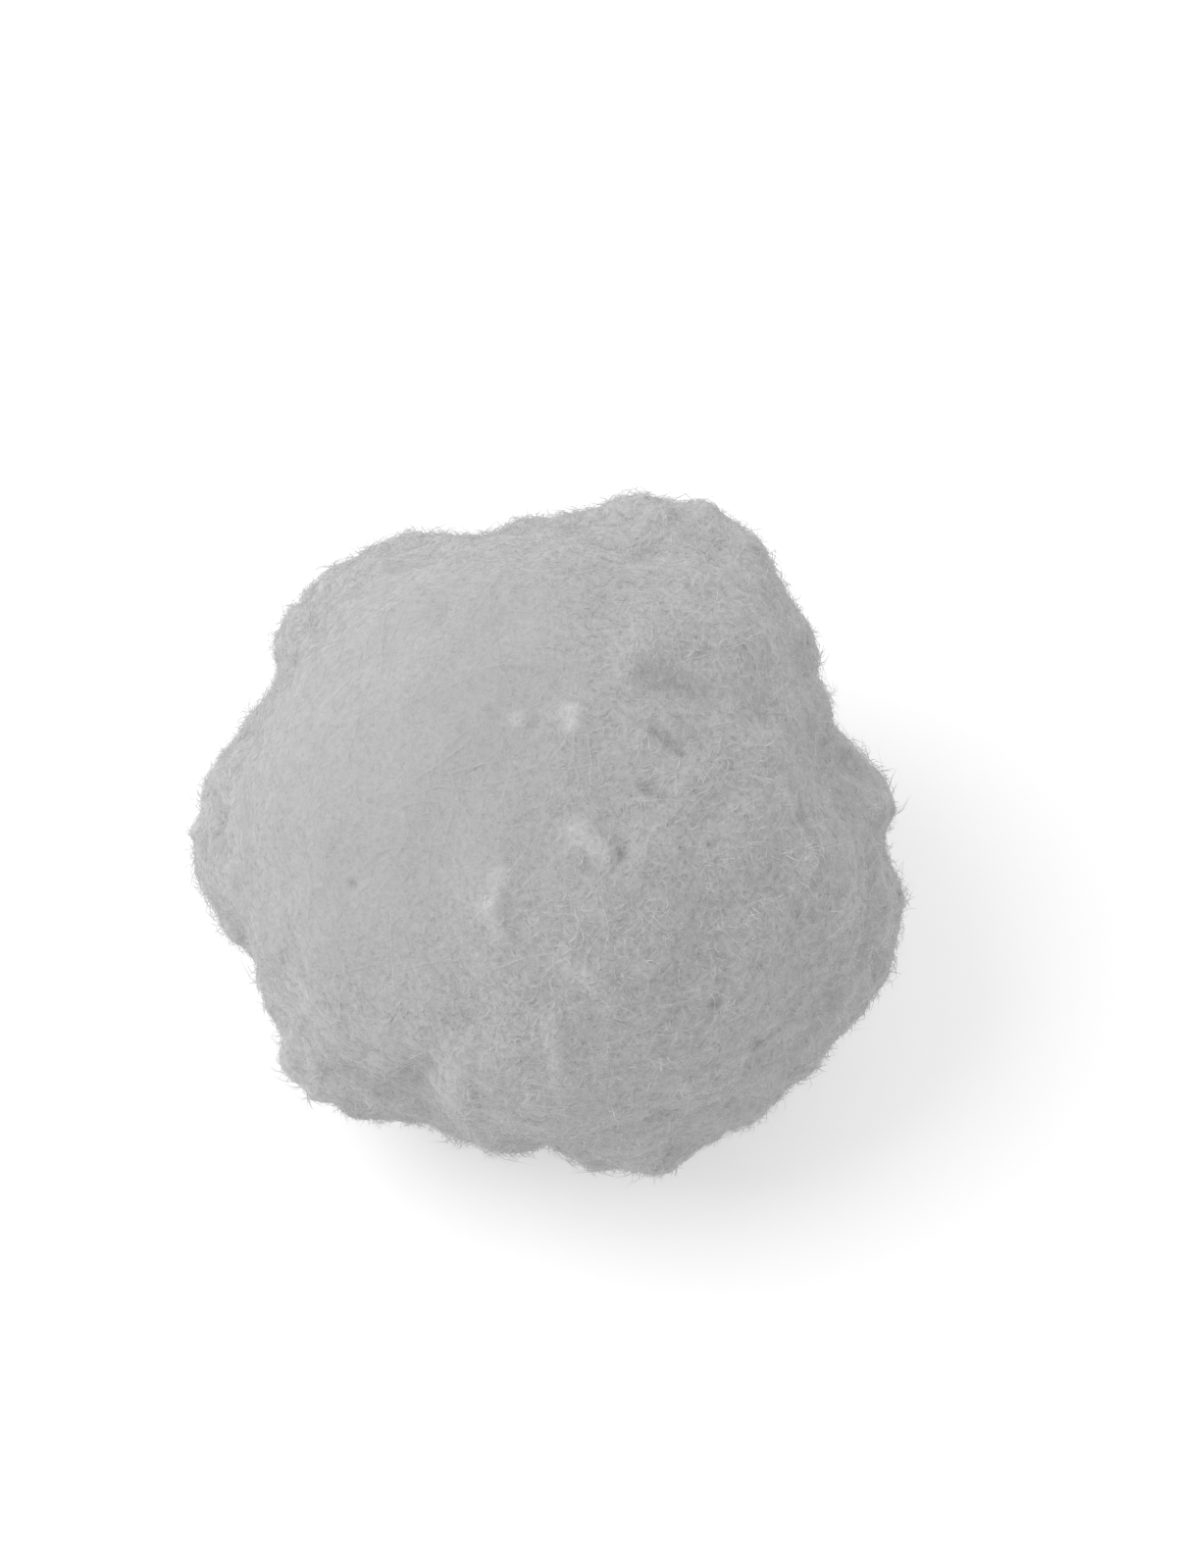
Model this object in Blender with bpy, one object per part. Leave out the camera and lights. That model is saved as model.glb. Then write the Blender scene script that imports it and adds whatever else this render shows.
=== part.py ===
"""Pool filter ball: one soft ball of tangled crimped fibre, about 45 mm across.

The ball is a single piece. Its fibre clumps together while it is tumbled, so the surface is made
of broad lobes that meet in soft creases, with small tufts all over them. It lies on a small flat
spot, where its own weight presses the fibre smooth.

Lengths are in metres, angles in degrees. The origin is the middle of the flat spot, +Z is up,
and the side whose lobes are given one by one faces forward (-Y) and up.
"""

import math

import bmesh
import bpy
import numpy as np
from mathutils import Vector
from mathutils.noise import noise_vector, seed_set

# Body: how far the creases lie from the middle, and how softly one lobe runs into the next
CREASE_RADIUS = 0.0190
CREASE_SOFTNESS = 0.0011

# Lobes: the radius of each kind of bulge
BROAD_LOBE = 0.0130
LOBE = 0.0100
SMALL_LOBE = 0.0078
KNOB = 0.0060

# Lobes of the forward face, which leans back by FACE_TILT from upright. For each one: its turn
# round the face from the right-hand side, its angle out from the middle of the face, its bulge
# radius, and how far its crown rises above the creases
FACE_TILT = 57.0
FACE_LOBES = (
    # round the rim, from the left-hand side clockwise
    (181, 86, LOBE, 0.0038),
    (131, 84, SMALL_LOBE, 0.0033),
    (120, 84, KNOB, 0.0022),
    (88, 84, KNOB, 0.0010),
    (62, 86, LOBE, 0.0045),
    (2, 85, KNOB, 0.0029),
    (-21, 87, SMALL_LOBE, 0.0047),
    (-50, 84, LOBE, 0.0034),
    (-70, 84, SMALL_LOBE, 0.0032),
    (-106, 82, SMALL_LOBE, 0.0004),
    (-134, 86, SMALL_LOBE, 0.0034),
    # inside the rim
    (150, 36, BROAD_LOBE, 0.0029),
    (122, 57, LOBE, 0.0025),
    (88, 42, BROAD_LOBE, 0.0028),
    (48, 62, SMALL_LOBE, 0.0026),
    (12, 34, LOBE, 0.0024),
    (-12, 58, SMALL_LOBE, 0.0029),
    (-60, 42, BROAD_LOBE, 0.0027),
    (-98, 14, LOBE, 0.0027),
    (-97, 48, SMALL_LOBE, 0.0030),
    (-145, 48, LOBE, 0.0028),
    (-178, 56, LOBE, 0.0025),
)

# Lobes of the rear and underside, scattered between the others: how close they come, and the
# least and most that they rise
REAR_SPACING = 0.0125
REAR_RISE = (0.0024, 0.0040)
REAR_SEED = 11

# Tufts all over the lobes: how close their crowns come, a tuft's own radius, the least and most
# that they rise
TUFT_SPACING = 0.0034
TUFT_RADIUS = 0.0026
TUFT_RISE = (0.0004, 0.0008)
TUFT_SEED = 5

# Wander: how far the edges of lobes and tufts stray from round, over what length, and the seed of
# the noise that turns them aside
WANDER = 0.0013
WANDER_LENGTH = 0.0060
WANDER_SEED = 1795870125

# Flat spot: the lobe that the ball lies on, how deep it is pressed in, and how far beyond the
# flat spot the tufts stay smoothed down
FOOT_LOBE = 0.0180
FOOT_RISE = 0.0022
PRESSED_DEPTH = 0.0010
SMOOTHED_BAND = 0.0060

# Grid: facets along each edge of the cube that is blown up into the ball, and how near the flat
# spot's level a corner of a facet is brought onto it
GRID = 30
LEVELLING = 0.00005

# Fibre: off-white wadding, wholly matt
FIBRE_COLOUR = (0.50, 0.50, 0.50, 1.0)
FIBRE_ROUGHNESS = 0.95

# Enough random draws to fill the whole ball at the tufts' spacing
DRAWS = 8000

DOWN = np.array((0.0, 0.0, -1.0))


def clear_scene():
    for thing in list(bpy.data.objects):
        bpy.data.objects.remove(thing, do_unlink=True)


def face_direction(turn, out):
    """The unit vector at a turn round the forward face and an angle out from its middle."""
    tilt, turn, out = (math.radians(angle) for angle in (FACE_TILT, turn, out))
    middle = np.array((0.0, -math.cos(tilt), math.sin(tilt)))
    rightward = np.array((1.0, 0.0, 0.0))
    upward = np.array((0.0, math.sin(tilt), math.cos(tilt)))
    across = math.cos(turn) * rightward + math.sin(turn) * upward
    return math.cos(out) * middle + math.sin(out) * across


def scattered(taken, spacing, draw):
    """Random directions, each at least a spacing, measured at the creases, from all the rest."""
    too_near = math.cos(spacing / CREASE_RADIUS)
    kept = list(taken)
    for direction in draw.normal(size=(DRAWS, 3)):
        direction /= np.linalg.norm(direction)
        if not kept or np.max(np.array(kept) @ direction) < too_near:
            kept.append(direction)
    return kept[len(taken):]


def all_lobes():
    """(direction, bulge radius, rise) of every lobe."""
    lobes = [(DOWN, FOOT_LOBE, FOOT_RISE)]
    lobes += [(face_direction(turn, out), bulge, rise) for turn, out, bulge, rise in FACE_LOBES]
    draw = np.random.default_rng(REAR_SEED)
    for direction in scattered([lobe[0] for lobe in lobes], REAR_SPACING, draw):
        lobes.append((direction, draw.uniform(SMALL_LOBE, LOBE), draw.uniform(*REAR_RISE)))
    return lobes


def lobed_radius(directions):
    """The ball's radius along each direction: its lobes' spheres and its body, softly joined."""
    body = np.ones(len(directions))
    total = body
    for centre, bulge, rise in all_lobes():
        offset = CREASE_RADIUS + rise - bulge
        cosine = directions @ centre
        inside = bulge**2 - offset**2 * (1.0 - cosine**2)
        reach = offset * cosine + np.sqrt(np.maximum(inside, 0.0))
        share = np.exp((reach - CREASE_RADIUS) / CREASE_SOFTNESS)
        total = total + np.where(inside > 0.0, share, 0.0)
    return CREASE_RADIUS + CREASE_SOFTNESS * np.log(total)


def arc(directions, centre):
    """How far each direction lies from a centre, along the ball at the creases."""
    return CREASE_RADIUS * np.arccos(np.clip(directions @ centre, -1.0, 1.0))


def tuft_height(directions):
    """Height of the tufts: rounded crowns that meet in fine creases, gone round the flat spot."""
    draw = np.random.default_rng(TUFT_SEED)
    height = np.zeros(len(directions))
    for centre in scattered([], TUFT_SPACING, draw):
        crown = 1.0 - (arc(directions, centre) / TUFT_RADIUS) ** 2
        height = np.maximum(height, draw.uniform(*TUFT_RISE) * crown)
    spot_radius = math.sqrt(2.0 * FOOT_LOBE * PRESSED_DEPTH)
    beyond = np.clip((arc(directions, DOWN) - spot_radius) / SMOOTHED_BAND, 0.0, 1.0)
    return height * beyond * beyond * (3.0 - 2.0 * beyond)


def wandered(directions):
    """The directions turned aside a little by smooth noise, so that no lobe or tuft is round."""
    seed_set(WANDER_SEED)
    aside = [noise_vector(Vector(d) * (CREASE_RADIUS / WANDER_LENGTH))[:] for d in directions]
    turned = directions + np.array(aside) * (WANDER / CREASE_RADIUS)
    return turned / np.linalg.norm(turned, axis=1, keepdims=True)


def blown_up_cube():
    """A sphere of radius 1 with four-sided facets of nearly one size."""
    bm = bmesh.new()
    bmesh.ops.create_cube(bm, size=2.0)
    bmesh.ops.subdivide_edges(bm, edges=bm.edges[:], cuts=GRID - 1, use_grid_fill=True)
    for corner in bm.verts:
        # the tangents widen the facets near the cube's corners, which the sphere draws together
        corner.co = [math.tan(c * math.pi / 4.0) for c in corner.co]
        corner.co.normalize()
    return bm


def press_flat(bm):
    """Cuts the ball off level at the origin, and closes it with one flat face."""
    for corner in bm.verts:
        if abs(corner.co.z) < LEVELLING:
            corner.co.z = 0.0
    everything = bm.verts[:] + bm.edges[:] + bm.faces[:]
    cut = bmesh.ops.bisect_plane(
        bm, geom=everything, plane_co=(0, 0, 0), plane_no=(0, 0, 1), clear_inner=True
    )
    rim = [piece for piece in cut["geom_cut"] if isinstance(piece, bmesh.types.BMEdge)]
    bmesh.ops.edgeloop_fill(bm, edges=rim)


def fibre_material():
    material = bpy.data.materials.new("fibre")
    material.use_nodes = True
    shader = material.node_tree.nodes["Principled BSDF"]
    shader.inputs["Base Color"].default_value = FIBRE_COLOUR
    shader.inputs["Roughness"].default_value = FIBRE_ROUGHNESS
    shader.inputs["Metallic"].default_value = 0.0
    return material


def fibre_ball():
    bm = blown_up_cube()
    directions = np.array([corner.co[:] for corner in bm.verts])
    aside = wandered(directions)
    radius = lobed_radius(aside) + tuft_height(aside)
    middle_height = CREASE_RADIUS + FOOT_RISE - PRESSED_DEPTH
    for corner, reach in zip(bm.verts, radius):
        corner.co = corner.co * float(reach)
        corner.co.z += middle_height
    press_flat(bm)
    bmesh.ops.recalc_face_normals(bm, faces=bm.faces[:])
    mesh = bpy.data.meshes.new("fibre_ball")
    bm.to_mesh(mesh)
    bm.free()
    mesh.shade_smooth()
    mesh.materials.append(fibre_material())
    ball = bpy.data.objects.new("fibre_ball", mesh)
    bpy.context.scene.collection.objects.link(ball)


clear_scene()
fibre_ball()
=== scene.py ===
"""Looks of the pool filter ball: felted body, nap, hairs, loose fibres, floor, light and camera.

Lengths are in metres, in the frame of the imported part. Angles are in radians, apart from those in
MARKS and FOLDS, which are in degrees.
"""

import math

import bmesh
import bpy
import numpy as np
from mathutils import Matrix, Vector
from mathutils.bvhtree import BVHTree
from mathutils.noise import noise, noise_vector, seed_set


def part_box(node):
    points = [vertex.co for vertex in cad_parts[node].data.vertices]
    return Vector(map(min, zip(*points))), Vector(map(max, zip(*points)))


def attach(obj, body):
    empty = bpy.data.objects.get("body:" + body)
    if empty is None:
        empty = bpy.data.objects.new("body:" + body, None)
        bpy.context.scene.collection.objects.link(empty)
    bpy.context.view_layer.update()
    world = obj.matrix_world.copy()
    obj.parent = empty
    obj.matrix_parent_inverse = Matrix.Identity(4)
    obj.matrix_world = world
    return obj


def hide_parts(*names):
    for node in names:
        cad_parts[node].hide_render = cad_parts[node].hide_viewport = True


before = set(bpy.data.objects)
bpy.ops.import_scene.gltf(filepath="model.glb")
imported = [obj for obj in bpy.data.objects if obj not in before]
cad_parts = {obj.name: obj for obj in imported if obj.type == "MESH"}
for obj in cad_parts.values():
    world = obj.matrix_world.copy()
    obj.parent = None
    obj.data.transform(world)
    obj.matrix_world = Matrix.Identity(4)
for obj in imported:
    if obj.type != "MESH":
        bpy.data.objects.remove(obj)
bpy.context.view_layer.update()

LOW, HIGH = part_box("fibre_ball")
MIDDLE = (LOW + HIGH) / 2
CENTRE = np.array(MIDDLE)
BALL_RADIUS = (HIGH.z - LOW.z) / 2

# Picture: the photograph's frame, the ball's place in it, how wide the ball is shown there, and how
# wide it is across its lobes on average
PHOTO_WIDTH, PHOTO_HEIGHT = 1200, 1599
BALL_X, BALL_Y = 560, 845
BALL_SHOWN = 700
BALL_WIDTH = 0.045

# Camera: its angle down, its distance from the ball's middle, its sensor, and the nearest and
# farthest that it sees
LOOK_DOWN = math.radians(57)
CAMERA_DISTANCE = 0.200
SENSOR_MM = 36.0
SIGHT = (0.01, 10.0)

# Packed ball: corners of facets nearer than this are one, how far a smoothing draws a corner
# towards its neighbours, and how often the facets are divided
SAME_CORNER = 1e-6
SMOOTHING = 0.5
ROUNDING = 2

# Felted body: facets along each edge of the cube that is blown up into it, how often the packed
# ball's facets are smoothed where the felt is lively and where it is calm, how far below them the
# felt lies, to leave room for the nap, the height over the floor by which it lies so far below,
# and the relief of the felt as (length, height) pairs
GRID = 128
SMOOTHINGS = 3
CALM_SMOOTHINGS = 8
NAP_ROOM = 0.00028
NAP_ROOM_RISE = 0.003
FELT = ((0.0026, 0.00007), (0.0012, 0.00005), (0.0006, 0.00005))

# Scallops: low mounds that show in the outline, their (length, height) pairs, the share of it that
# they keep in the middle of the face that the camera sees, and the angles out from there between
# which they come up to their full height
SCALLOPS = ((0.0036, 0.00070), (0.0016, 0.00045))
SCALLOPS_ON_FACE = 0.15
SCALLOPS_RISE = (math.radians(50), math.radians(78))

# Calm patch: the upper left of the forward face is smoother than the rest. Its turn round the
# face and angle out from the middle of the face, the angles from there between which it ends, and
# the angles from the middle of the face between which it ends at the rim
CALM_TURN, CALM_OUT = math.radians(152), math.radians(42)
CALM_EDGE = (math.radians(24), math.radians(62))
CALM_RIM = (math.radians(60), math.radians(76))

# The shares that the calm patch keeps of the relief, of the strands' thickness, of the felt's
# mottling and of the strands' spread of tones, and how far hairs on it are laid down, from 0, as
# elsewhere, to 1, as flat as they go
CALM_SHARE = 0.05
CALM_THICKNESS = 0.75
CALM_MOTTLING = 0.45
CALM_SPREAD = 0.10
CALM_LAID = 0.6

# Marks that stand out on the forward face. Their relief is real, and their colour carries painted
# highlight where they are high and painted shade where they are deep. Each is a stroke between two
# places given as (turn round the face, angle out from its middle), with its half width and its
# height, or depth if negative
MARKS = (
    # small tufts
    ((78, 20), (76, 18), 0.0007, 0.00042),
    ((106, 19), (106, 19), 0.0006, 0.00027),
    ((-10, 5), (-25, 10), 0.0009, 0.00042),
    ((-49, 39), (-49, 39), 0.0006, 0.00020),
    ((-63, 55), (-62, 59), 0.0005, 0.00030),
    ((-16, 46), (-6, 48), 0.0011, 0.00016),
    ((10, 44), (6, 46), 0.0008, 0.00020),
    # ridges
    ((-134, 11), (-127, 16), 0.0007, 0.00024),
    ((-127, 16), (-115, 19), 0.0007, 0.00024),
    ((-90, 32), (-88, 40), 0.0006, 0.00026),
    ((-82, 22), (-69, 31), 0.0006, 0.00015),
    # pits and short creases
    ((-20, 13), (-20, 13), 0.0005, -0.00040),
    ((98, 18), (98, 18), 0.0004, -0.00018),
    ((23, 18), (14, 21), 0.0004, -0.00034),
    ((42, 25), (30, 27), 0.0005, -0.00036),
    ((57, 33), (38, 39), 0.0009, -0.00022),
    ((4, 48), (-7, 52), 0.0005, -0.00013),
    ((-7, 52), (-13, 50), 0.0005, -0.00018),
    ((-19, 49), (-21, 51), 0.0004, -0.00028),
    ((-46, 60), (-46, 62), 0.0004, -0.00034),
    ((-47, 44), (-47, 44), 0.0005, -0.00036),
    ((-164, 36), (-164, 36), 0.0004, -0.00026),
    ((134, 65), (134, 65), 0.0004, -0.00028),
    ((118, 42), (115, 45), 0.0004, -0.00014),
)

# What a mark FULL_MARK high does: how much lighter its felt is, as a share, and its strands, on
# their scale of 0, dark, to 1, light, which is painted highlight, while a mark as deep is darker by
# as much, which is painted shade, and how much longer its nap is, as a share, with the least and
# most of its length that marks leave the nap
FULL_MARK = 0.0004
MARK_PAINTED_LIGHT = 0.16
MARK_STRANDS_PAINTED_LIGHT = 0.6
MARK_LONGER = 1.2
MARKED_LENGTH = (0.35, 1.15)

# Folds and swellings of the form, given as the marks are, which have the colour of the rest
FOLDS = (
    # where the lowest lobe overlaps its neighbour, and the crowns beside it
    ((-115, 88), (-117, 66), 0.0020, -0.00040),
    ((-116, 52), (-119, 60), 0.0013, -0.00080),
    ((-120, 62), (-127, 71), 0.0018, -0.00050),
    ((-110, 52), (-104, 66), 0.0013, 0.00040),
    ((-122, 36), (-121, 43), 0.0013, 0.00030),
    # the lower left lobe, which runs on to the rim
    ((-146, 70), (-124, 66), 0.0018, 0.00050),
    # the upper right lobe, the valley at its foot, and the hollow beyond
    ((64, 34), (51, 56), 0.0032, 0.00050),
    ((52, 31), (28, 47), 0.0013, -0.00035),
    ((16, 30), (10, 50), 0.0028, -0.00025),
    # notches and swellings of the outline
    ((-171, 78), (-171, 92), 0.0013, 0.00045),
    ((-158, 80), (-155, 90), 0.0014, -0.00125),
    ((-142, 80), (-145, 90), 0.0013, -0.00095),
    ((-132, 78), (-132, 92), 0.0012, 0.00045),
    ((-93, 81), (-88, 88), 0.0014, -0.00130),
    ((-75, 78), (-75, 92), 0.0012, 0.00030),
    ((-42, 78), (-42, 92), 0.0014, 0.00050),
    ((-18, 78), (-18, 92), 0.0012, 0.00045),
    ((4, 78), (11, 92), 0.0018, 0.00070),
    ((24, 78), (24, 92), 0.0026, 0.00080),
    ((36, 80), (36, 92), 0.0014, 0.00030),
    ((54, 78), (77, 78), 0.0026, 0.00090),
    ((104, 78), (104, 92), 0.0012, -0.00060),
    ((152, 80), (152, 92), 0.0018, -0.00045),
    ((171, 78), (171, 92), 0.0012, 0.00035),
)

# Pills: little knots of fibre, and pits between them
PILLS = 120
PILL_RADIUS = (0.00045, 0.00080)
PILL_HEIGHT = (0.00005, 0.00016)
PITS = 50
PIT_RADIUS = (0.00035, 0.00060)
PIT_DEPTH = (0.00006, 0.00018)

# Hairs rooted on the body, shortest first: name, how many, steps along each, radius, length and
# angle from upright
HAIRS = (
    ("nap", 49000, 1, 0.000021, (0.00030, 0.00080), (0.4, 1.4)),
    ("curls", 19800, 2, 0.000018, (0.00060, 0.00150), (0.3, 1.3)),
    ("wisps", 19000, 2, 0.000026, (0.00050, 0.00120), (0.5, 1.4)),
)

# How far hairs curl sideways, on average, and how much of their rise they lose by bending over,
# both as shares of their length, and the least and most of its radius that a strand has
CURL = 1.0
DROOP = 0.5
THICKNESS = (0.7, 1.3)

# Over what length neighbouring hairs lean one way, how much that counts against chance, and the
# seed of the noise that leans them
COMBED_LENGTH = 0.0009
COMBED_SHARE = 0.6
COMBED_SEED = 400

# The share of its length that the nap keeps on the calm patch and on the rest of the forward face,
# and the angles from the middle of the face between which it comes up to its full length
SHAG_CALM = 0.50
SHAG_FACE = 0.80
SHAG_RISE = (math.radians(40), math.radians(72))

# Tufts of the nap: how far apart they lie, how far under and over nought in the noise their edges
# run, the shares of their length that hairs keep between and within them, and how much lighter the
# strands are within them, as painted highlight, and darker between them, as painted shade, on their
# scale of 0 to 1
NAP_TUFTS = 0.0011
TUFT_EDGE = 0.35
NAP_TUFTED = (0.5, 1.45)
TUFT_PAINTED_LIGHT = 0.25

# Loose fibres that lie along the body: how many, steps along each, radius and length
FIBRES = 3450
FIBRE_STEPS = 9
FIBRE_RADIUS = 0.000014
FIBRE_LENGTH = (0.0024, 0.0062)

# How strongly they bend and crimp, in radians a metre, and the length of one crimp
FIBRE_BEND = 220.0
FIBRE_CRIMP = (150.0, 650.0)
FIBRE_WAVE = (0.0010, 0.0024)

# How high they lie, how high they arch on average, the share of them whose end stands free, and
# the most that it rises
FIBRE_REST = (-0.00002, 0.00006)
FIBRE_ARCH = 0.00010
FREE_ENDS = 0.2
FREE_END_RISE = 0.0005

# Chance: the seeds of the relief, the layers of hair and the loose fibres, the number of the noise
# that places the tufts, and how far apart numbered noises lie, with their place across that
RELIEF_SEED = 21
HAIR_SEED = 100
FIBRE_SEED = 300
TUFT_NOISE = 9
NOISE_STEP = 7.3
NOISE_ASIDE = (1.9, 4.1)

# UV maps: the margin round each side of the body, the margin round the strands, the width over
# which they lie by their tones, and the width of a side of a strand
SIDE_MARGIN = 0.01
STRAND_MARGIN = 0.02
TONES_WIDTH = 0.88
STRAND_SIDE = 0.025

# Colours, as linear light: the wadding, and shares of it for the darkest and lightest felt, the
# places in the noise where those are reached, the calm felt, darkened as painted shade for the
# shadows that its laid, thin nap does not cast, and the darkest and lightest strands
WADDING = 0.47
FELT_TONES = (0.85, 1.14)
FELT_TONE_ENDS = (0.30, 0.70)
CALM_SHADED_TONE = 0.94
STRAND_TONES = (0.64, 1.40)

# Finish: roughness, gloss, the share of light that spreads inside and how far, and the felt's
# sheen and how rough that is
ROUGHNESS = 0.95
GLOSS = 0.15
SPREADING = 0.7
SPREADING_DEPTH = 0.0009
SHEEN = 0.45
SHEEN_ROUGHNESS = 0.5

# Noise of the felt: its octaves, the waves a metre and the roughness of its mottling and of its
# grain, and the grain's strength and depth
NOISE_OCTAVES = 4.0
MOTTLING_NOISE = (2600.0, 0.6)
GRAIN_NOISE = (4200.0, 0.5)
GRAIN_STRENGTH = 0.85
GRAIN_DEPTH = 0.0001

# Floor: its half width, its level, just under the ball, its colour, its glow as the camera sees it,
# near the ball and away from it, the radii between which that rises, and its roughness
FLOOR_HALF = 3.0
FLOOR_LEVEL = -0.00002
FLOOR = 0.66
FLOOR_GLOW = (0.42, 0.52)
GLOW_RISE = (0.10, 0.60)
FLOOR_ROUGHNESS = 0.9

# Light: the key lamp's width, watts and place from the ball's middle, and the studio's strength
KEY_WIDTH = 0.35
KEY_WATTS = 1.28
KEY_PLACE = (-0.29, -0.05, 0.42)
STUDIO = 0.75


def new_object(name, mesh):
    thing = bpy.data.objects.new(name, mesh)
    bpy.context.scene.collection.objects.link(thing)
    return thing


def smooth_cad_surface(smoothings):
    """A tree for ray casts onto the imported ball, with its facets rounded off."""
    bm = bmesh.new()
    bm.from_mesh(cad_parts["fibre_ball"].data)
    bmesh.ops.remove_doubles(bm, verts=bm.verts[:], dist=SAME_CORNER)
    mesh = bpy.data.meshes.new("smooth_cad")
    bm.to_mesh(mesh)
    bm.free()
    guide = new_object("smooth_cad", mesh)
    softening = guide.modifiers.new("softening", "SMOOTH")
    softening.factor = SMOOTHING
    softening.iterations = smoothings
    rounding = guide.modifiers.new("rounding", "SUBSURF")
    rounding.levels = rounding.render_levels = ROUNDING
    tree = BVHTree.FromObject(guide, bpy.context.evaluated_depsgraph_get())
    bpy.data.objects.remove(guide, do_unlink=True)
    return tree


def cast(tree, directions):
    """(points, normals) where rays from the ball's middle leave the surface of a tree."""
    points, normals = np.zeros((len(directions), 3)), np.zeros((len(directions), 3))
    for i, direction in enumerate(directions.tolist()):
        point, normal, _, _ = tree.ray_cast(MIDDLE, direction)
        points[i], normals[i] = point, normal
    return points, normals


def unit(vectors):
    return vectors / np.linalg.norm(vectors, axis=-1, keepdims=True)


def random_directions(draw, count):
    return unit(draw.normal(size=(count, 3)))


def face_direction(turn, out):
    """The unit vector at a turn round the face that the camera sees, and an angle out from it."""
    toward = np.array((0.0, -math.cos(LOOK_DOWN), math.sin(LOOK_DOWN)))
    upward = np.array((0.0, math.sin(LOOK_DOWN), math.cos(LOOK_DOWN)))
    across = math.cos(turn) * np.array((1.0, 0.0, 0.0)) + math.sin(turn) * upward
    return math.cos(out) * toward + math.sin(out) * across


def angle_from(directions, centre):
    return np.arccos(np.clip(directions @ centre, -1.0, 1.0))


def between(start, end, values):
    """0 before the start, 1 beyond the end, and a smooth rise between them."""
    share = np.clip((values - start) / (end - start), 0.0, 1.0)
    return share * share * (3.0 - 2.0 * share)


def toward_rim(limits, directions):
    """0 in the middle of the forward face, up to 1 between two angles out from there."""
    return between(*limits, angle_from(directions, face_direction(0.0, 0.0)))


def liveliness(directions):
    """1 where the felt is lively, down to 0 in the middle of the calm patch."""
    patch = between(*CALM_EDGE, angle_from(directions, face_direction(CALM_TURN, CALM_OUT)))
    return np.maximum(patch, toward_rim(CALM_RIM, directions))


def mounds(points, length, rise, number):
    """Lumps of one size, from the smooth noise of that number."""
    shift = Vector((NOISE_STEP * number, *NOISE_ASIDE))
    return rise * np.array([noise(Vector(p) / length + shift) for p in points.tolist()])


def dabs(directions, draw, count, radii, heights):
    """Small round bumps at random places, as a height for each direction."""
    height = np.zeros(len(directions))
    for centre in random_directions(draw, count):
        width, rise = draw.uniform(*radii), draw.uniform(*heights)
        away = BALL_RADIUS * np.sqrt(np.maximum(2.0 - 2.0 * directions @ centre, 0.0))
        height += rise * np.exp(-((away / width) ** 2))
    return height


def strokes(marks, directions):
    """The height of marks or folds on the forward face, for each direction."""
    height = np.zeros(len(directions))
    for start, end, width, rise in marks:
        start = face_direction(*map(math.radians, start))
        run = face_direction(*map(math.radians, end)) - start
        # 1e-9 stands in for the length of a dot, which is a stroke from a place to itself
        along = (directions - start) @ run / max(run @ run, 1e-9)
        nearest = start + np.clip(along, 0.0, 1.0)[:, None] * run
        away = BALL_RADIUS * np.linalg.norm(directions - nearest, axis=1)
        height += rise * np.exp(-((away / width) ** 2))
    return height


def marked(directions):
    """The height of the marks, as a share of FULL_MARK."""
    return strokes(MARKS, directions) / FULL_MARK


def relief(points, directions, lively):
    """The felt's height: fine lumps, pills and pits, scallops, and the marks and folds."""
    draw = np.random.default_rng(RELIEF_SEED)
    fine = sum(mounds(points, *octave, number) for number, octave in enumerate(FELT))
    fine += dabs(directions, draw, PILLS, PILL_RADIUS, PILL_HEIGHT)
    fine -= dabs(directions, draw, PITS, PIT_RADIUS, PIT_DEPTH)
    fine *= CALM_SHARE + (1.0 - CALM_SHARE) * lively
    scallops = sum(mounds(points, *octave, number) for number, octave in enumerate(SCALLOPS, len(FELT)))
    scallops *= SCALLOPS_ON_FACE + (1.0 - SCALLOPS_ON_FACE) * toward_rim(SCALLOPS_RISE, directions)
    return fine + scallops + strokes(MARKS + FOLDS, directions)


def body():
    """The ball's body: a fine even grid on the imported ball's smooth form, raised into felt."""
    bm = bmesh.new()
    bmesh.ops.create_cube(bm, size=2.0)
    bmesh.ops.subdivide_edges(bm, edges=bm.edges[:], cuts=GRID - 1, use_grid_fill=True)
    mesh = bpy.data.meshes.new("felted_body")
    bm.to_mesh(mesh)
    bm.free()
    cube = np.zeros(len(mesh.vertices) * 3)
    mesh.vertices.foreach_get("co", cube)
    cube = cube.reshape(-1, 3)
    # the tangents widen the facets near the cube's corners, which the sphere draws together
    directions = unit(np.tan(cube * math.pi / 4))
    lively = liveliness(directions)
    calm_points, _ = cast(smooth_cad_surface(CALM_SMOOTHINGS), directions)
    points, _ = cast(smooth_cad_surface(SMOOTHINGS), directions)
    points = calm_points + (points - calm_points) * lively[:, None]
    room = NAP_ROOM * between(0.0, NAP_ROOM_RISE, points[:, 2])
    points += directions * (relief(points, directions, lively) - room)[:, None]
    points[:, 2] = np.maximum(points[:, 2], 0.0)
    mesh.vertices.foreach_set("co", points.ravel())
    # the marks' height drives the felt's painted highlight on high marks and painted shade in deep ones
    for name, values in (("mark", marked(directions)), ("lively", lively)):
        attribute = mesh.attributes.new(name, "FLOAT", "POINT")
        attribute.data.foreach_set("value", values.astype(np.float32))
    atlas_map(mesh, cube)
    mesh.update()
    mesh.shade_smooth()
    return new_object("felted_body", mesh)


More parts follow.
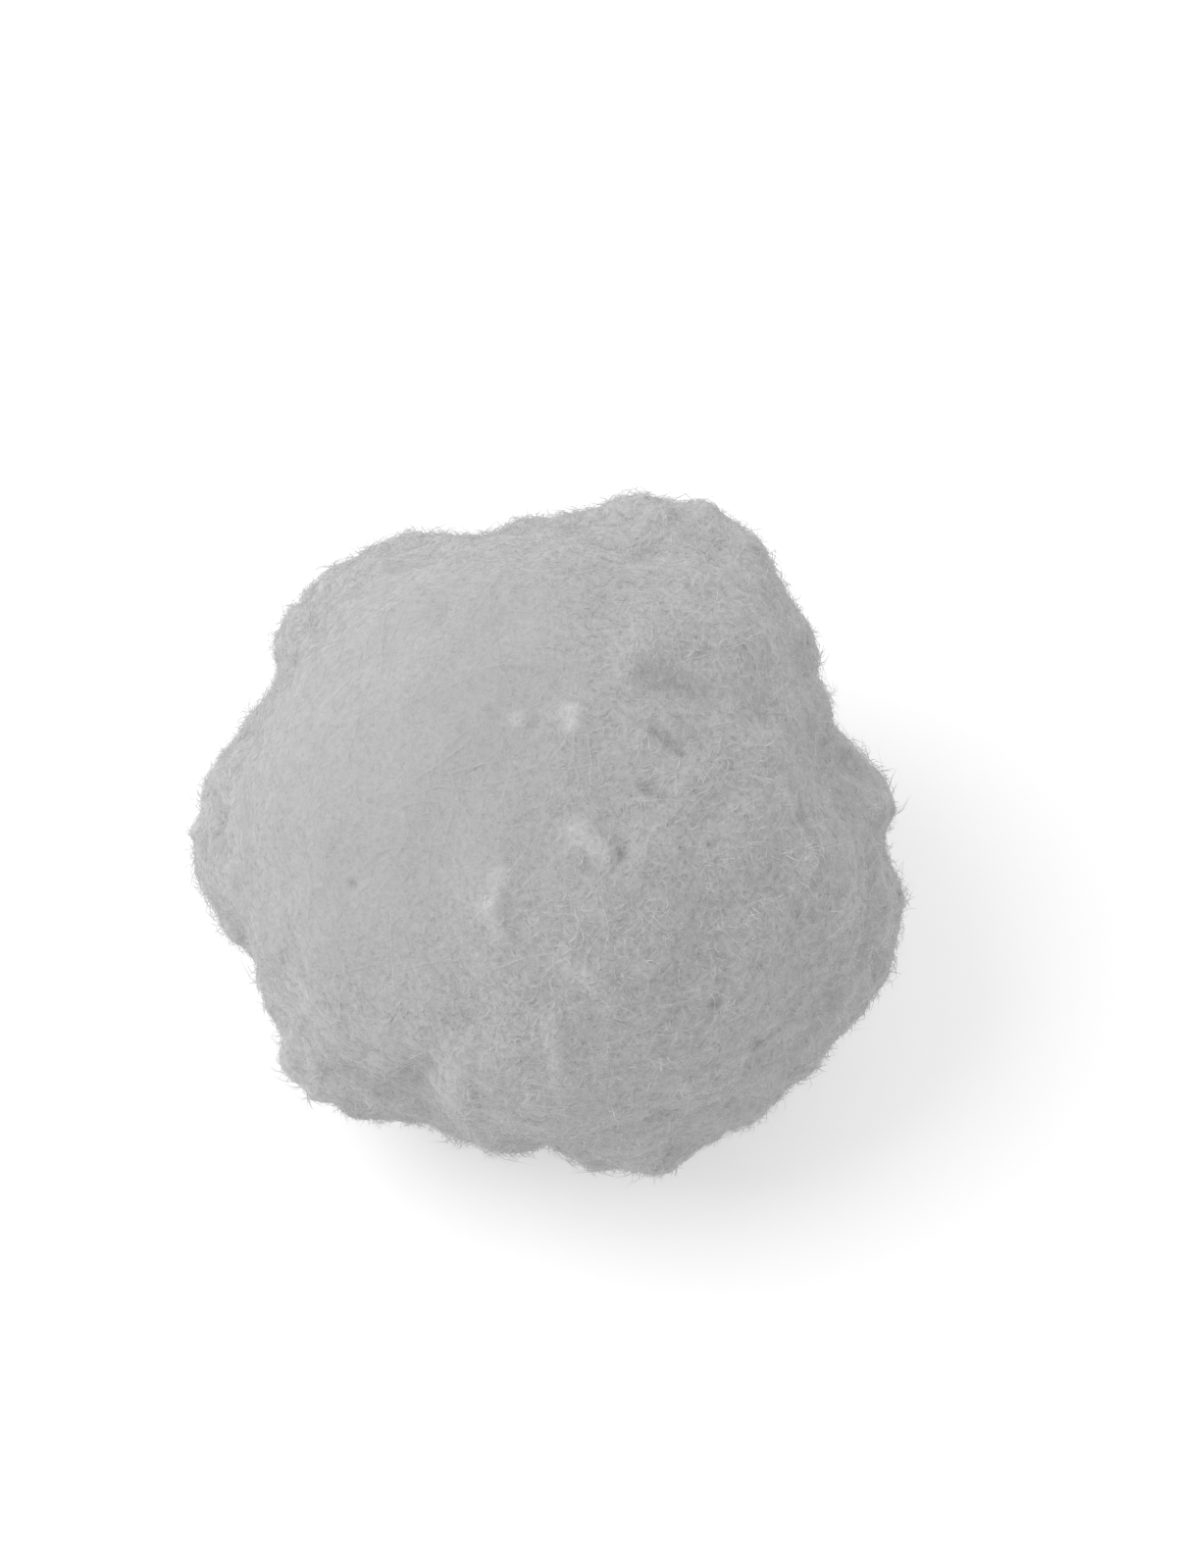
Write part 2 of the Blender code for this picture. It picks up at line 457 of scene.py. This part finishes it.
def atlas_map(mesh, cube):
    """A UV map of the body: the six sides of the cube, three across and two up."""
    corner_of = np.zeros(len(mesh.loops), np.int32)
    mesh.loops.foreach_get("vertex_index", corner_of)
    sides = np.zeros(len(mesh.loops), np.int32)
    uv = np.zeros((len(mesh.loops), 2))
    for face in mesh.polygons:
        middle = np.mean(cube[list(face.vertices)], axis=0)
        axis = int(np.argmax(np.abs(middle)))
        side = axis * 2 + int(middle[axis] > 0)
        sides[face.loop_start:face.loop_start + face.loop_total] = side
    for side in range(6):
        here = sides == side
        flat = np.delete(cube[corner_of[here]], side // 2, axis=1) / 2 + 0.5
        flat = SIDE_MARGIN + flat * (1 - 2 * SIDE_MARGIN)
        uv[here] = (flat + (side % 3, side // 3)) / (3, 2)
    mesh.uv_layers.new(name="OFBake").data.foreach_set("uv", uv.ravel())


def strand_mesh(name, paths, radii, tones, ups):
    """Closed three-sided strands along paths, an array of strands by points by 3.

    Each strand has one flat side up, and runs out into a point.
    """
    count, points = paths.shape[:2]
    rings = points - 1
    along = unit(np.gradient(paths, axis=1))
    side = unit(np.cross(along, ups))
    over = np.cross(side, along)
    corners = []
    for k in range(3):
        turn = 2 * math.pi * k / 3 + math.pi / 6
        offset = math.cos(turn) * side + math.sin(turn) * over
        corners.append((paths + offset * radii[:, None, None])[:, :rings])
    corners = np.stack(corners, axis=2).reshape(count, rings * 3, 3)
    corners = np.concatenate([corners, paths[:, -1:]], axis=1)
    faces, places = strand_faces(rings)
    mesh = bpy.data.meshes.new(name)
    first = (np.arange(count) * corners.shape[1])[:, None, None]
    mesh.from_pydata(corners.reshape(-1, 3), [], (faces[None] + first).reshape(-1, 3).tolist())
    # the closed root lies on one level, so its middle corner is moved, to give it room in the map
    level = faces // 3 / rings
    level[0, 1] = 0.5 / rings
    u = STRAND_MARGIN + TONES_WIDTH * tones[:, None, None] + STRAND_SIDE * places[None]
    v = np.broadcast_to(STRAND_MARGIN + (1 - 2 * STRAND_MARGIN) * level[None], u.shape)
    uv = np.stack([u, v], axis=-1).reshape(-1)
    mesh.uv_layers.new(name="OFBake").data.foreach_set("uv", uv)
    strand = mesh.attributes.new("strand", "FLOAT2", "CORNER")
    strand.data.foreach_set("vector", uv.astype(np.float32))
    mesh.update()
    return new_object(name, mesh)


def strand_faces(rings):
    """(faces, places): the corners of each face of one strand, and their places round it."""
    tip = rings * 3
    faces, places = [(0, 1, 2)], [(0, 1, 2)]
    for k in range(3):
        for step in range(rings - 1):
            a, b = step * 3 + k, step * 3 + (k + 1) % 3
            faces += [(a, b + 3, b), (a, a + 3, b + 3)]
            places += [(k, k + 1, k + 1), (k, k, k + 1)]
        a, b = tip - 3 + k, tip - 3 + (k + 1) % 3
        faces.append((a, tip, b))
        places.append((k, k + 0.5, k + 1))
    return np.array(faces), np.array(places)


def shag(directions):
    """The share of its length that the nap keeps: least on the calm patch, and all at the rim."""
    face = SHAG_CALM + (SHAG_FACE - SHAG_CALM) * liveliness(directions)
    return face + (1.0 - SHAG_FACE) * toward_rim(SHAG_RISE, directions)


def in_tuft(points):
    """From 0 between the tufts of the nap to 1 within them."""
    return between(-TUFT_EDGE, TUFT_EDGE, mounds(points, NAP_TUFTS, 1.0, TUFT_NOISE))


def strand_tones(draw, roots):
    """From 0, dark, to 1, light, close to the middle on the calm patch, lighter on tufts and high marks
    as painted highlight, and darker between tufts and on deep marks as painted shade.
    """
    directions = unit(roots - CENTRE)
    lively = liveliness(directions)
    spread = CALM_SPREAD + (1.0 - CALM_SPREAD) * lively
    tones = 0.5 + (draw.random(len(roots)) - 0.5) * spread
    # painted highlight on the strands within the tufts and painted shade on those between them
    tones += TUFT_PAINTED_LIGHT * lively * (in_tuft(roots) - 0.5)
    # painted highlight on the strands of high marks and painted shade on those of deep ones
    tones += MARK_STRANDS_PAINTED_LIGHT * marked(directions)
    return np.clip(tones, 0.0, 1.0)


def surface_paths(tree, draw):
    """Wandering paths of the loose fibres: (points, normals), each fibres by points by 3."""
    at = random_directions(draw, FIBRES)
    heading = unit(np.cross(at, random_directions(draw, FIBRES)))
    step = draw.uniform(*FIBRE_LENGTH, size=FIBRES) / FIBRE_STEPS
    bend = draw.normal(0.0, FIBRE_BEND, size=FIBRES)
    crimp = draw.uniform(*FIBRE_CRIMP, size=FIBRES)
    wave = draw.uniform(*FIBRE_WAVE, size=FIBRES)
    phase = draw.uniform(0.0, 2 * math.pi, size=FIBRES)
    trail = [at]
    for i in range(FIBRE_STEPS):
        turn = step * (bend + crimp * np.sin(phase + 2 * math.pi * i * step / wave))
        aside = np.cross(at, heading)
        heading = np.cos(turn)[:, None] * heading + np.sin(turn)[:, None] * aside
        at = unit(at + heading * (step / BALL_RADIUS)[:, None])
        heading = unit(heading - at * np.sum(heading * at, axis=1, keepdims=True))
        trail.append(at)
    trail = np.stack(trail, axis=1)
    points, normals = cast(tree, trail.reshape(-1, 3))
    return points.reshape(trail.shape), normals.reshape(trail.shape)


def loose_fibres(tree):
    """Long crimped fibres that lie along the body."""
    draw = np.random.default_rng(FIBRE_SEED)
    points, normals = surface_paths(tree, draw)
    t = np.linspace(0.0, 1.0, FIBRE_STEPS + 1)[None]
    rest = draw.uniform(*FIBRE_REST, size=(FIBRES, 1))
    arch = draw.exponential(FIBRE_ARCH, size=(FIBRES, 1)) * np.sin(math.pi * t)
    free = draw.random((FIBRES, 1)) < FREE_ENDS
    free_end = free * FREE_END_RISE * draw.random((FIBRES, 1))
    height = rest + arch + free_end * t**3
    paths = points + normals * height[..., None]
    paths[..., 2] = np.maximum(paths[..., 2], FIBRE_RADIUS)
    radii = FIBRE_RADIUS * draw.uniform(*THICKNESS, FIBRES)
    return strand_mesh("loose_fibres", paths, radii, strand_tones(draw, points[:, 0]), normals)


def combed(points):
    """A smooth random direction at each point, which neighbours nearly share."""
    seed_set(COMBED_SEED)
    return np.array([noise_vector(Vector(p) / COMBED_LENGTH)[:] for p in points.tolist()])


def hairs(tree, seed, name, count, steps, radius, lengths, leans):
    """Hairs rooted on the body that lean along it, bend over, and stand in tufts."""
    draw = np.random.default_rng(seed)
    points, normals = cast(tree, random_directions(draw, count))
    directions = unit(points - CENTRE)
    lively = liveliness(directions)[:, None]
    combing = COMBED_SHARE * lively
    way = unit(combed(points) * combing + draw.normal(size=(count, 3)))
    along = unit(way - normals * np.sum(way * normals, axis=1, keepdims=True))
    curl = np.cross(normals, along) * draw.normal(0.0, CURL, size=(count, 1))
    least, most = NAP_TUFTED
    tufted = least + (most - least) * in_tuft(points)[:, None]
    length = draw.uniform(*lengths, size=(count, 1)) * (1.0 + (tufted - 1.0) * lively)
    length *= shag(directions)[:, None]
    length *= np.clip(1.0 + MARK_LONGER * marked(directions), *MARKED_LENGTH)[:, None]
    lean = draw.uniform(*leans, size=(count, 1))
    lean += (leans[1] - lean) * CALM_LAID * (1.0 - lively)
    paths = []
    for k in range(steps + 1):
        t = k / steps
        rise = np.cos(lean) * (t - DROOP * t * t) * normals
        reach = np.sin(lean) * (t * along + t * t * curl)
        paths.append(points - normals * radius + length * (rise + reach))
    paths = np.stack(paths, axis=1)
    paths[..., 2] = np.maximum(paths[..., 2], radius)
    radii = radius * draw.uniform(*THICKNESS, count)
    radii *= CALM_THICKNESS + (1.0 - CALM_THICKNESS) * lively[:, 0]
    ups = np.broadcast_to(normals[:, None], paths.shape)
    return strand_mesh(name, paths, radii, strand_tones(draw, points), ups)


def grey(value):
    return (value, value, value, 1.0)


def shader_of(name):
    material = bpy.data.materials.new(name)
    material.use_nodes = True
    nodes, links = material.node_tree.nodes, material.node_tree.links
    return material, nodes, links, nodes["Principled BSDF"]


def soft_and_matt(shader):
    """Light spreads inside the fibre mass, and nothing on it shines."""
    shader.inputs["Roughness"].default_value = ROUGHNESS
    shader.inputs["Specular IOR Level"].default_value = GLOSS
    shader.inputs["Subsurface Weight"].default_value = SPREADING
    shader.inputs["Subsurface Radius"].default_value = (1.0, 1.0, 1.0)
    shader.inputs["Subsurface Scale"].default_value = SPREADING_DEPTH


def attribute_of(nodes, name):
    """The node that reads an attribute of the mesh."""
    attribute = nodes.new("ShaderNodeAttribute")
    attribute.attribute_name = name
    return attribute


def wadding_tones(nodes, tones, ends=(0.0, 1.0)):
    """A ramp between two shares of the wadding's grey."""
    ramp = nodes.new("ShaderNodeValToRGB")
    for element, tone, end in zip(ramp.color_ramp.elements, tones, ends):
        element.position = end
        element.color = grey(WADDING * tone)
    return ramp


def noise_on(nodes, links, scale, roughness):
    """Noise by the place on the ball, as waves a metre and the roughness of its octaves."""
    place = nodes.new("ShaderNodeTexCoord")
    texture = nodes.new("ShaderNodeTexNoise")
    texture.inputs["Scale"].default_value = scale
    texture.inputs["Detail"].default_value = NOISE_OCTAVES
    texture.inputs["Roughness"].default_value = roughness
    links.new(place.outputs["Object"], texture.inputs["Vector"])
    return texture


def felt_colour(nodes, links):
    """Mottled grey, more even and darker on the calm patch, where the darkening is painted shade, with
    painted highlight on high marks and painted shade on deep ones.
    """
    shade = wadding_tones(nodes, FELT_TONES, FELT_TONE_ENDS)
    links.new(noise_on(nodes, links, *MOTTLING_NOISE).outputs["Fac"], shade.inputs["Fac"])
    mottling = nodes.new("ShaderNodeMapRange")
    mottling.inputs["To Min"].default_value = CALM_MOTTLING
    links.new(attribute_of(nodes, "lively").outputs["Fac"], mottling.inputs["Value"])
    mottled = nodes.new("ShaderNodeMixRGB")
    # the calm grey is darkened, painted shade for the shadows that the calm patch's nap does not cast
    mottled.inputs["Color1"].default_value = grey(WADDING * CALM_SHADED_TONE)
    links.new(mottling.outputs["Result"], mottled.inputs["Fac"])
    links.new(shade.outputs["Color"], mottled.inputs["Color2"])
    # the colour is scaled up on high marks, as painted highlight, and down in deep ones, as painted
    # shade
    lighter = nodes.new("ShaderNodeMath")
    lighter.operation = "MULTIPLY_ADD"
    lighter.inputs[1].default_value = MARK_PAINTED_LIGHT
    lighter.inputs[2].default_value = 1.0
    links.new(attribute_of(nodes, "mark").outputs["Fac"], lighter.inputs[0])
    shaded = nodes.new("ShaderNodeVectorMath")
    shaded.operation = "SCALE"
    links.new(mottled.outputs["Color"], shaded.inputs[0])
    links.new(lighter.outputs["Value"], shaded.inputs["Scale"])
    return shaded.outputs["Vector"]


def felt_material():
    material, nodes, links, shader = shader_of("felt")
    soft_and_matt(shader)
    shader.inputs["Sheen Weight"].default_value = SHEEN
    shader.inputs["Sheen Roughness"].default_value = SHEEN_ROUGHNESS
    links.new(felt_colour(nodes, links), shader.inputs["Base Color"])
    bump = nodes.new("ShaderNodeBump")
    bump.inputs["Strength"].default_value = GRAIN_STRENGTH
    bump.inputs["Distance"].default_value = GRAIN_DEPTH
    links.new(noise_on(nodes, links, *GRAIN_NOISE).outputs["Fac"], bump.inputs["Height"])
    links.new(bump.outputs["Normal"], shader.inputs["Normal"])
    return material


def fibre_material():
    material, nodes, links, shader = shader_of("loose_fibre")
    soft_and_matt(shader)
    parts = nodes.new("ShaderNodeSeparateXYZ")
    links.new(attribute_of(nodes, "strand").outputs["Vector"], parts.inputs["Vector"])
    shade = wadding_tones(nodes, STRAND_TONES)
    links.new(parts.outputs["X"], shade.inputs["Fac"])
    links.new(shade.outputs["Color"], shader.inputs["Base Color"])
    return material


def dress(thing, material):
    thing.data.materials.append(material)
    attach(thing, "root")


def let_light_in(strands):
    """Diffuse light passes the strands, as it scatters from fibre to fibre in real wadding."""
    strands.visible_diffuse = False


def seen_ray(nodes, links):
    """1 for a ray that the camera sees, straight, mirrored or through glass, and 0 for the rest."""
    path = nodes.new("ShaderNodeLightPath")
    seen = path.outputs["Is Camera Ray"]
    for kind in ("Is Glossy Ray", "Is Transmission Ray"):
        either = nodes.new("ShaderNodeMath")
        either.operation = "MAXIMUM"
        links.new(seen, either.inputs[0])
        links.new(path.outputs[kind], either.inputs[1])
        seen = either.outputs["Value"]
    return seen


def floor_material():
    """Pale grey that keeps the ball's shadow, with a glow that makes it white to the camera."""
    material, nodes, links, shader = shader_of("floor")
    shader.inputs["Base Color"].default_value = grey(FLOOR)
    shader.inputs["Roughness"].default_value = FLOOR_ROUGHNESS
    shader.inputs["Specular IOR Level"].default_value = 0.0
    place = nodes.new("ShaderNodeNewGeometry")
    away = nodes.new("ShaderNodeVectorMath")
    away.operation = "LENGTH"
    links.new(place.outputs["Position"], away.inputs[0])
    rise = nodes.new("ShaderNodeMapRange")
    rise.interpolation_type = "SMOOTHSTEP"
    rise.inputs["From Min"].default_value, rise.inputs["From Max"].default_value = GLOW_RISE
    rise.inputs["To Min"].default_value, rise.inputs["To Max"].default_value = FLOOR_GLOW
    links.new(away.outputs["Value"], rise.inputs["Value"])
    glow = nodes.new("ShaderNodeEmission")
    links.new(rise.outputs["Result"], glow.inputs["Color"])
    links.new(seen_ray(nodes, links), glow.inputs["Strength"])
    both = nodes.new("ShaderNodeAddShader")
    links.new(shader.outputs["BSDF"], both.inputs[0])
    links.new(glow.outputs["Emission"], both.inputs[1])
    links.new(both.outputs["Shader"], nodes["Material Output"].inputs["Surface"])
    return material


def white_floor():
    near, far = -FLOOR_HALF, FLOOR_HALF
    corners = [(x, y, FLOOR_LEVEL) for x, y in ((near, near), (far, near), (far, far), (near, far))]
    mesh = bpy.data.meshes.new("floor")
    mesh.from_pydata(corners, [], [(0, 1, 2, 3)])
    mesh.materials.append(floor_material())
    new_object("floor", mesh)


def pointed_at(name, data, place, target):
    thing = new_object(name, data)
    thing.location = place
    thing.rotation_euler = (target - Vector(place)).to_track_quat("-Z", "Y").to_euler()
    return thing


def key_lamp():
    key = bpy.data.lights.new("key", "AREA")
    key.shape = "DISK"
    key.size = KEY_WIDTH
    key.energy = KEY_WATTS
    pointed_at("key", key, MIDDLE + Vector(KEY_PLACE), MIDDLE)


def studio():
    """A world that lights the ball from all sides, and that the camera sees as white."""
    world = bpy.data.worlds.new("studio")
    bpy.context.scene.world = world
    world.use_nodes = True
    nodes, links = world.node_tree.nodes, world.node_tree.links
    dim = nodes["Background"]
    dim.inputs["Color"].default_value = grey(1.0)
    dim.inputs["Strength"].default_value = STUDIO
    white = nodes.new("ShaderNodeBackground")
    white.inputs["Color"].default_value = grey(1.0)
    white.inputs["Strength"].default_value = 1.0
    mix = nodes.new("ShaderNodeMixShader")
    links.new(seen_ray(nodes, links), mix.inputs["Fac"])
    links.new(dim.outputs["Background"], mix.inputs[1])
    links.new(white.outputs["Background"], mix.inputs[2])
    links.new(mix.outputs["Shader"], nodes["World Output"].inputs["Surface"])


def camera():
    """Looks down at the photograph's angle, with the ball at the photograph's place."""
    data = bpy.data.cameras.new("camera")
    back = Vector((0.0, -math.cos(LOOK_DOWN), math.sin(LOOK_DOWN)))
    eye = pointed_at("camera", data, MIDDLE + back * CAMERA_DISTANCE, MIDDLE)
    data.sensor_fit = "HORIZONTAL"
    data.sensor_width = SENSOR_MM
    data.lens = SENSOR_MM * CAMERA_DISTANCE * BALL_SHOWN / (BALL_WIDTH * PHOTO_WIDTH)
    data.clip_start, data.clip_end = SIGHT
    data.shift_x = (PHOTO_WIDTH / 2 - BALL_X) / PHOTO_WIDTH
    data.shift_y = (BALL_Y - PHOTO_HEIGHT / 2) / PHOTO_WIDTH
    bpy.context.scene.camera = eye


camera()
key_lamp()
studio()
white_floor()

ball = body()
dress(ball, felt_material())
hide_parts("fibre_ball")

on_body = BVHTree.FromObject(ball, bpy.context.evaluated_depsgraph_get())
fibre = fibre_material()
for seed, kind in enumerate(HAIRS, HAIR_SEED):
    layer = hairs(on_body, seed, *kind)
    dress(layer, fibre)
    if kind is not HAIRS[0]:
        let_light_in(layer)
long_fibres = loose_fibres(on_body)
dress(long_fibres, fibre)
let_light_in(long_fibres)

bpy.context.scene.view_settings.view_transform = "Standard"
